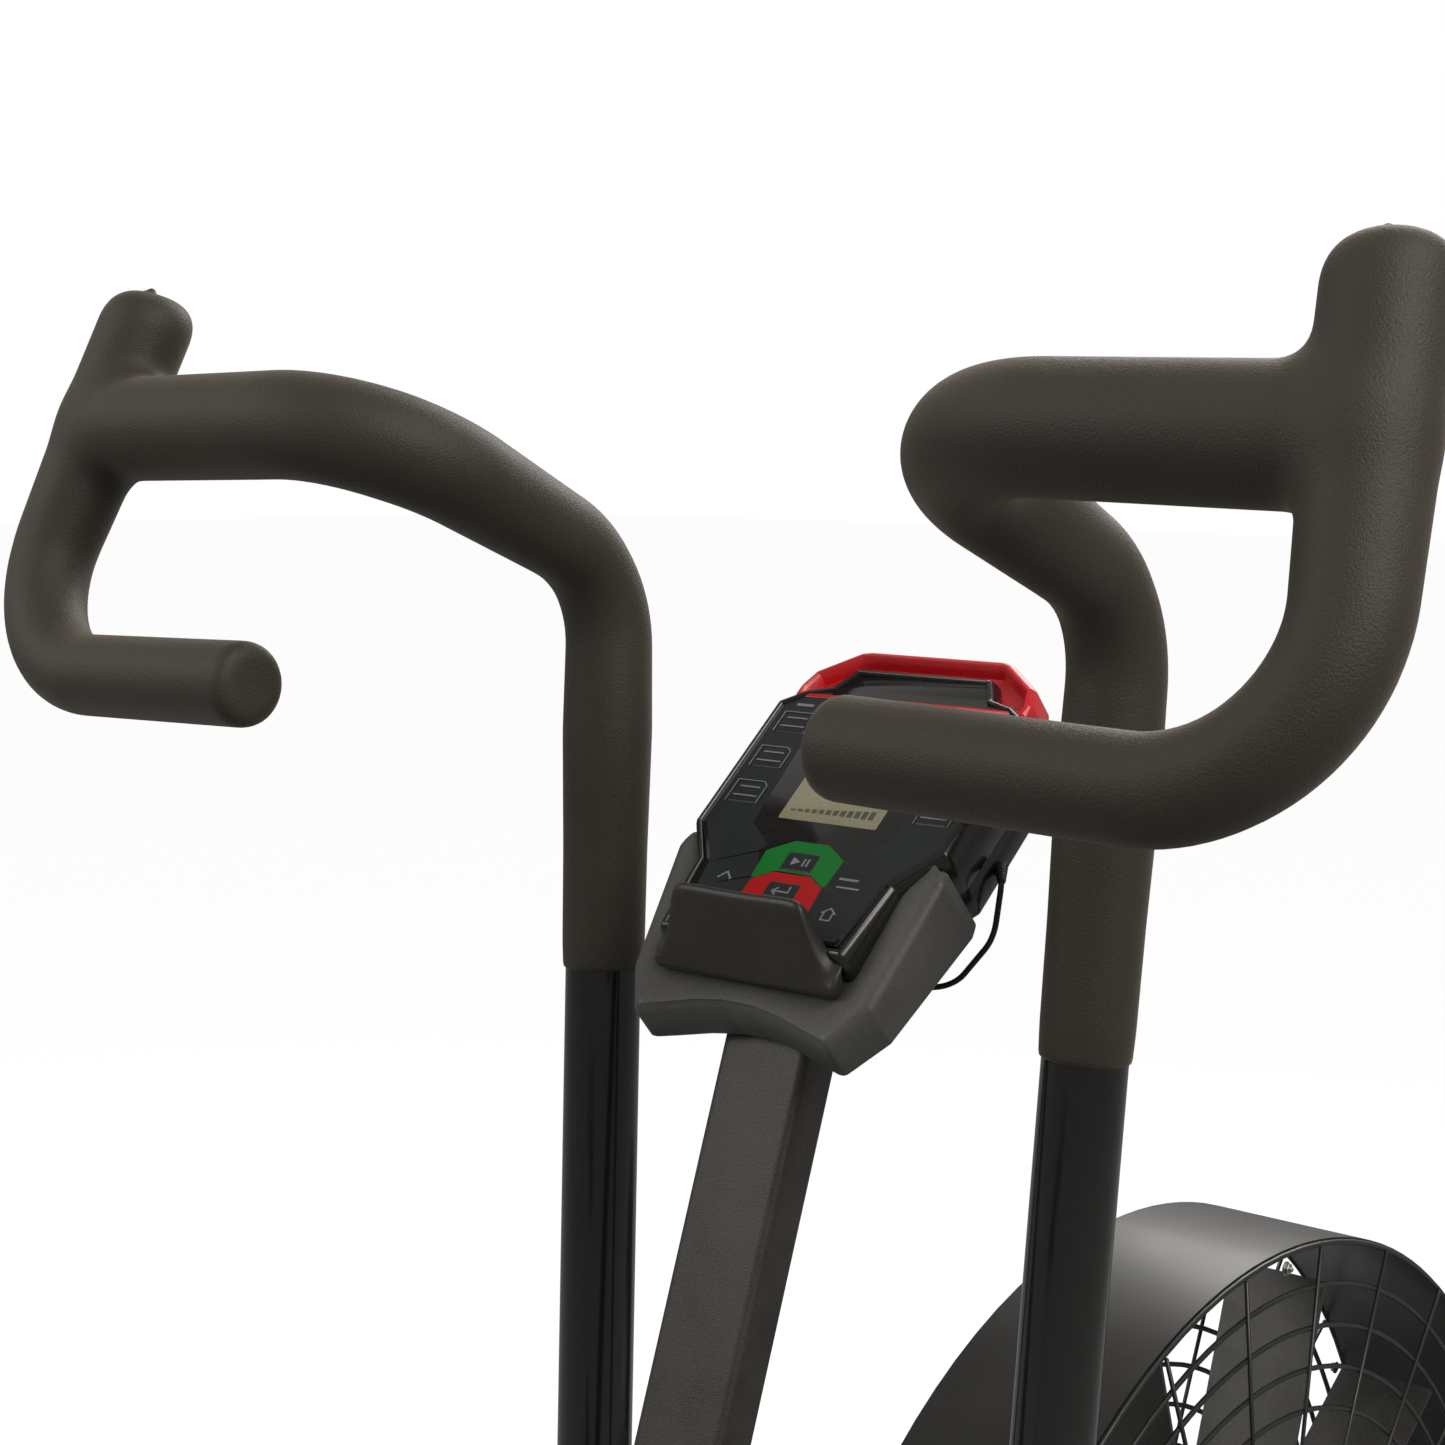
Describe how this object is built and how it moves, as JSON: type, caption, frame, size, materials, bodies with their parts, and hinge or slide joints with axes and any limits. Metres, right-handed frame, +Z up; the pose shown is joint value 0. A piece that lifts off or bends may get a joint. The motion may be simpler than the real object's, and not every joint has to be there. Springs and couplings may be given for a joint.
{
  "type": "air bike",
  "caption": "Fan-loaded exercise bike with swinging foam-covered arms, pedals, belt drive, sliding saddle and a tilted console with a phone rest.",
  "frame": {"origin": "floor point under the middle of the bike", "axes": "+X the way the rider faces, +Y the rider's left, +Z up"},
  "size_m": [1.4, 0.7532, 1.2902],
  "materials": {
    "frame_paint": "textured dark grey powder coat",
    "gloss_black": "gloss black paint",
    "bright_steel": "machined, lightly brushed",
    "zinc": "zinc plated",
    "black_plastic": "satin moulded",
    "grey_plastic": "satin moulded",
    "red_plastic": "satin moulded",
    "wire_black": "satin powder coat",
    "fan_metal": "painted dark, satin",
    "belt_rubber": "matte",
    "tread_rubber": "matte",
    "grip_foam": "soft pebbled foam",
    "saddle_cover": "grained synthetic cover",
    "film": "printed satin film",
    "lcd_glass": "olive display"
  },
  "bodies": {
    "frame": {"base_beam": "frame_paint", "front_stabilizer": "frame_paint", "rear_stabilizer": "frame_paint", "end_caps": "black_plastic", "levelling_feet": "tread_rubber", "wheel_brackets": "zinc", "front_post": "frame_paint", "spine": "frame_paint", "seat_tube": "frame_paint", "mast": "frame_paint", "fan_struts": "frame_paint", "fan_axle": "zinc", "guard_right": "wire_black", "guard_left": "wire_black", "guard_rim": "wire_black", "belt_primary": "belt_rubber", "belt_second": "belt_rubber", "cover_right": "black_plastic", "cover_left": "black_plastic", "pivot_shaft": "bright_steel", "foot_pegs": "tread_rubber", "console_shell": "black_plastic", "console_housing": "grey_plastic", "console_cap": "red_plastic", "phone_rest": "black_plastic", "overlay": "film", "lcd": "lcd_glass", "side_pads": "film", "console_lead": "belt_rubber"},
    "cranks": {"crank_axle": "bright_steel", "crank_pulley": "bright_steel", "crank_right": "zinc", "crank_left": "zinc"},
    "pedal_r": {"pedal_right": "black_plastic"},
    "pedal_l": {"pedal_left": "black_plastic"},
    "rod_r": {"rod_right": "frame_paint"},
    "rod_l": {"rod_left": "frame_paint"},
    "jack": {"jackshaft": "bright_steel", "jack_pulley": "bright_steel"},
    "fan": {"fan_wheel": "fan_metal", "fan_hub": "bright_steel"},
    "arm_r": {"arm_sleeve_right": "gloss_black", "arm_right": "gloss_black", "tbar_right": "gloss_black", "foam_right": "grip_foam"},
    "arm_l": {"arm_sleeve_left": "gloss_black", "arm_left": "gloss_black", "tbar_left": "gloss_black", "foam_left": "grip_foam"},
    "post": {"seat_post": "bright_steel"},
    "post_pin": {"post_knob": "black_plastic"},
    "slider": {"seat_slider": "zinc", "saddle_pan": "black_plastic", "saddle": "saddle_cover"},
    "slider_pin": {"slider_knob": "black_plastic"},
    "wheel_r": {"wheel_right": "tread_rubber"},
    "wheel_l": {"wheel_left": "tread_rubber"},
    "start_key": {"start_pad": "film"},
    "enter_key": {"enter_pad": "film"}
  },
  "joints": [
    {"name": "crank_spin", "type": "hinge", "parent": "frame", "child": "cranks", "pos_m": [-0.36, 0, 0.3], "axis": [0, 1, 0], "continuous": true},
    {"name": "jackshaft_spin", "type": "hinge", "parent": "frame", "child": "jack", "pos_m": [-0.12, 0, 0.38], "axis": [0, 1, 0], "continuous": true},
    {"name": "fan_spin", "type": "hinge", "parent": "frame", "child": "fan", "pos_m": [0.345, 0, 0.43], "axis": [0, 1, 0], "continuous": true},
    {"name": "pedal_right_spin", "type": "hinge", "parent": "cranks", "child": "pedal_r", "pos_m": [-0.36, -0.182, 0.13], "axis": [0, 1, 0], "continuous": true},
    {"name": "pedal_left_spin", "type": "hinge", "parent": "cranks", "child": "pedal_l", "pos_m": [-0.36, 0.182, 0.47], "axis": [0, 1, 0], "continuous": true},
    {"name": "rod_right_pivot", "type": "hinge", "parent": "cranks", "child": "rod_r", "pos_m": [-0.36, -0.098, 0.25], "axis": [0, 1, 0], "continuous": true},
    {"name": "rod_left_pivot", "type": "hinge", "parent": "cranks", "child": "rod_l", "pos_m": [-0.36, 0.098, 0.35], "axis": [0, 1, 0], "continuous": true},
    {"name": "arm_right_swing", "type": "hinge", "parent": "frame", "child": "arm_r", "pos_m": [-0.028, -0.113, 0.51], "axis": [0, 1, 0], "range_deg": [-13.8, 13.8]},
    {"name": "arm_left_swing", "type": "hinge", "parent": "frame", "child": "arm_l", "pos_m": [-0.028, 0.113, 0.51], "axis": [0, 1, 0], "range_deg": [-13.8, 13.8]},
    {"name": "seat_height", "type": "slide", "parent": "frame", "child": "post", "axis": [-0.2873, 0, 0.9578], "range_m": [0, 0.12]},
    {"name": "seat_reach", "type": "slide", "parent": "post", "child": "slider", "axis": [-1, 0, 0], "range_m": [0, 0.06]},
    {"name": "post_pin_pull", "type": "slide", "parent": "frame", "child": "post_pin", "axis": [0, -1, 0], "range_m": [0, 0.008], "stiffness_N_per_m": 900, "springref_m": -0.004},
    {"name": "slider_pin_pull", "type": "slide", "parent": "slider", "child": "slider_pin", "axis": [0, -1, 0], "range_m": [0, 0.008], "stiffness_N_per_m": 900, "springref_m": -0.004},
    {"name": "wheel_right_spin", "type": "hinge", "parent": "frame", "child": "wheel_r", "pos_m": [0.675, -0.23, 0.038], "axis": [0, 1, 0], "continuous": true},
    {"name": "wheel_left_spin", "type": "hinge", "parent": "frame", "child": "wheel_l", "pos_m": [0.675, 0.23, 0.038], "axis": [0, 1, 0], "continuous": true},
    {"name": "start_key_press", "type": "slide", "parent": "frame", "child": "start_key", "axis": [0.6561, 0, -0.7547], "range_m": [0, 0.0006], "stiffness_N_per_m": 1500, "springref_m": -0.0004},
    {"name": "enter_key_press", "type": "slide", "parent": "frame", "child": "enter_key", "axis": [0.6561, 0, -0.7547], "range_m": [0, 0.0006], "stiffness_N_per_m": 1500, "springref_m": -0.0004}
  ],
  "couplings": [
    {"joint": "jackshaft_spin", "follows": "crank_spin", "ratio": 3.2333},
    {"joint": "fan_spin", "follows": "crank_spin", "ratio": 9.2381},
    {"joint": "rod_right_pivot", "follows": "crank_spin", "ratio": -1},
    {"joint": "rod_left_pivot", "follows": "crank_spin", "ratio": -1},
    {"joint": "arm_left_swing", "follows": "arm_right_swing", "ratio": -1}
  ]
}
